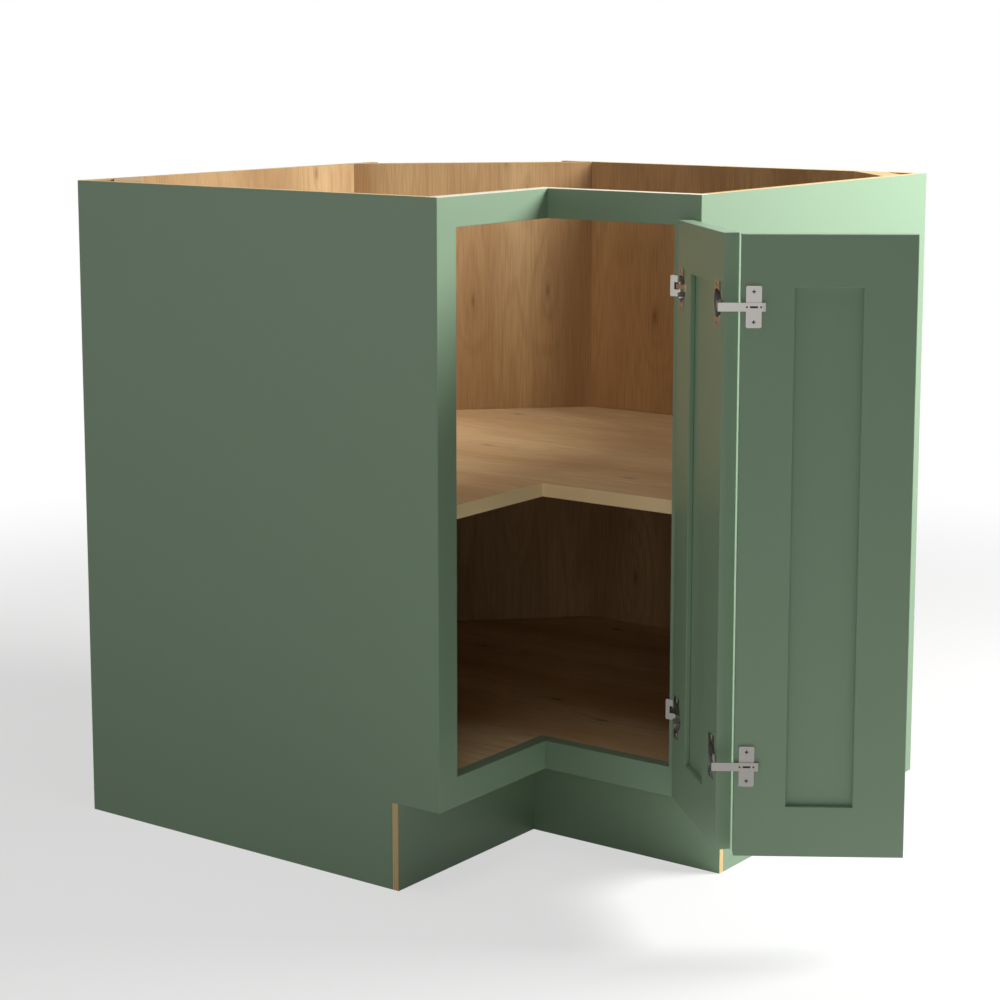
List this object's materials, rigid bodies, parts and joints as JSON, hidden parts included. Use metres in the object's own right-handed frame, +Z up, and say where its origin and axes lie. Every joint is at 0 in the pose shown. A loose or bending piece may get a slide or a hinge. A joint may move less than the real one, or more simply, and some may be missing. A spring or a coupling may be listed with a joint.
{
  "type": "corner base cabinet",
  "caption": "L-shaped corner base cabinet with a face frame, clipped back corner, fixed shelf, toe kick, and bi-fold flat-panel doors on concealed-style hinges.",
  "frame": {"origin": "the room's corner at the floor, where the two walls behind the wings meet", "axes": "+X along the right wing's wall, -Y along the left wing's wall, +Z up; the notch with the doors faces +X and -Y"},
  "size_m": [1.1502, 0.8382, 0.8763],
  "materials": {
    "sage_paint": "satin sage-green paint on wood",
    "natural_wood": "clear-coated natural wood veneer on plywood",
    "hinge_steel": "nickel-plated steel"
  },
  "bodies": {
    "cabinet": {"deck": "natural_wood", "diagonal_back_panel": "natural_wood", "hinge_clip_screws": "hinge_steel", "left_back_panel": "natural_wood", "left_bottom_rail": "sage_paint", "left_corner_brace": "natural_wood", "left_side_panel": "sage_paint", "left_stile": "sage_paint", "left_toe_kick": "sage_paint", "left_top_rail": "sage_paint", "lower_frame_hinge_arm": "hinge_steel", "right_back_panel": "natural_wood", "right_bottom_rail": "sage_paint", "right_corner_brace": "natural_wood", "right_side_panel": "sage_paint", "right_stile": "sage_paint", "right_toe_kick": "sage_paint", "right_top_rail": "sage_paint", "shelf": "natural_wood", "upper_frame_hinge_arm": "hinge_steel"},
    "hinged_door": {"hinge_cup_screws": "hinge_steel", "hinged_door_bottom_rail": "sage_paint", "hinged_door_fold_stile": "sage_paint", "hinged_door_hinge_stile": "sage_paint", "hinged_door_panel": "sage_paint", "hinged_door_top_rail": "sage_paint", "lower_fold_hinge_cup": "hinge_steel", "lower_fold_hinge_pin": "hinge_steel", "lower_frame_hinge_cup": "hinge_steel", "lower_frame_hinge_pin": "hinge_steel", "upper_fold_hinge_cup": "hinge_steel", "upper_fold_hinge_pin": "hinge_steel", "upper_frame_hinge_cup": "hinge_steel", "upper_frame_hinge_pin": "hinge_steel"},
    "folding_door": {"fold_plate_screws": "hinge_steel", "folding_door_bottom_rail": "sage_paint", "folding_door_fold_stile": "sage_paint", "folding_door_free_stile": "sage_paint", "folding_door_panel": "sage_paint", "folding_door_top_rail": "sage_paint", "lower_fold_hinge_arm": "hinge_steel", "lower_fold_hinge_plate": "hinge_steel", "upper_fold_hinge_arm": "hinge_steel", "upper_fold_hinge_plate": "hinge_steel"}
  },
  "joints": [
    {"name": "door_swing", "type": "hinge", "parent": "cabinet", "child": "hinged_door", "pos_m": [0.8252, -0.6216, 0.4823], "axis": [0, 0, 1], "range_deg": [-137, 28]},
    {"name": "door_fold", "type": "hinge", "parent": "hinged_door", "child": "folding_door", "pos_m": [0.95871, -0.7461, 0.4823], "axis": [0, 0, 1], "range_deg": [-2.71, 13.05]}
  ],
  "couplings": [
    {"joint": "door_fold", "follows": "door_swing", "ratio": -0.094891}
  ]
}
